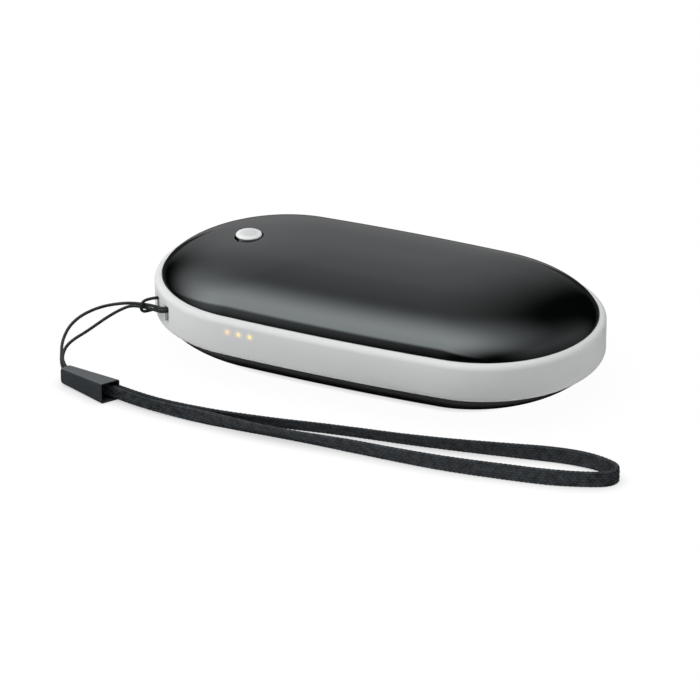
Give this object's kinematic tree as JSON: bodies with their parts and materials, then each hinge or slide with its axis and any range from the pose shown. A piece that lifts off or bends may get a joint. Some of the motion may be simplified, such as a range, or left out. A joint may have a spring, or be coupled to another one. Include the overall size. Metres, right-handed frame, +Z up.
{
  "type": "rechargeable hand warmer",
  "caption": "Palm-sized oval warmer: two glossy black domed covers on a pale band with a push button, charge lights, a charge socket and a braided wrist lanyard.",
  "frame": {"origin": "centre of the body's footprint on the surface it lies on, lanyard left out", "axes": "+X along the body away from the lanyard end, +Y away from the charge lights, +Z up through the button side"},
  "size_m": [0.1278, 0.0695, 0.0235],
  "materials": {
    "cover_lacquer": "black gloss lacquer on aluminium sheet",
    "band_plastic": "pale grey satin moulding",
    "button_plastic": "white satin moulding",
    "light_plastic": "clear moulding lit amber",
    "lamp_resin": "lamp resin",
    "gasket_tape": "black foam tape",
    "socket_steel": "bright steel",
    "screw_steel": "zinc plated steel",
    "black_plastic": "black moulding",
    "tray_plastic": "dark grey moulding",
    "plug_plastic": "natural nylon",
    "board_laminate": "green glass-fibre laminate",
    "component_resin": "black resin",
    "cell_pouch": "silver pouch foil",
    "tab_nickel": "nickel strip",
    "lead_rubber": "red silicone wire",
    "film_amber": "amber polyimide film",
    "pad_rubber": "soft grey-blue silicone",
    "foam_grey": "grey closed-cell foam",
    "sleeve_plastic": "charcoal satin moulding",
    "cord_nylon": "black braided nylon",
    "strap_webbing": "charcoal braided webbing"
  },
  "bodies": {
    "case": {"top_cover": "cover_lacquer", "bottom_cover": "cover_lacquer", "middle_band": "band_plastic", "top_gasket": "gasket_tape", "bottom_gasket": "gasket_tape", "charge_socket_shell": "socket_steel", "charge_socket_tongue": "black_plastic", "switch_body": "black_plastic", "light_guide": "light_plastic", "charge_lights": "lamp_resin", "main_board": "board_laminate", "board_components": "component_resin", "battery_plug": "plug_plastic", "tray_screws": "screw_steel", "board_screws": "screw_steel", "battery_tray": "tray_plastic", "battery_cell": "cell_pouch", "tray_tape": "gasket_tape", "protection_board": "board_laminate", "cell_tabs": "tab_nickel", "battery_leads": "lead_rubber", "top_heater_film": "film_amber", "bottom_heater_film": "film_amber", "top_thermal_pad": "pad_rubber", "bottom_thermal_pad": "pad_rubber", "top_foam": "foam_grey", "bottom_foam": "foam_grey", "thermistor": "component_resin", "strap_sleeve": "sleeve_plastic", "cord_crimp": "tab_nickel", "lanyard_cord": "cord_nylon", "wrist_strap": "strap_webbing"},
    "button": {"power_button": "button_plastic", "switch_plunger": "black_plastic"}
  },
  "joints": [
    {"name": "button_press", "type": "slide", "parent": "case", "child": "button", "axis": [0, 0, 1], "range_m": [-0.0004, 0], "stiffness_N_per_m": 1500}
  ]
}
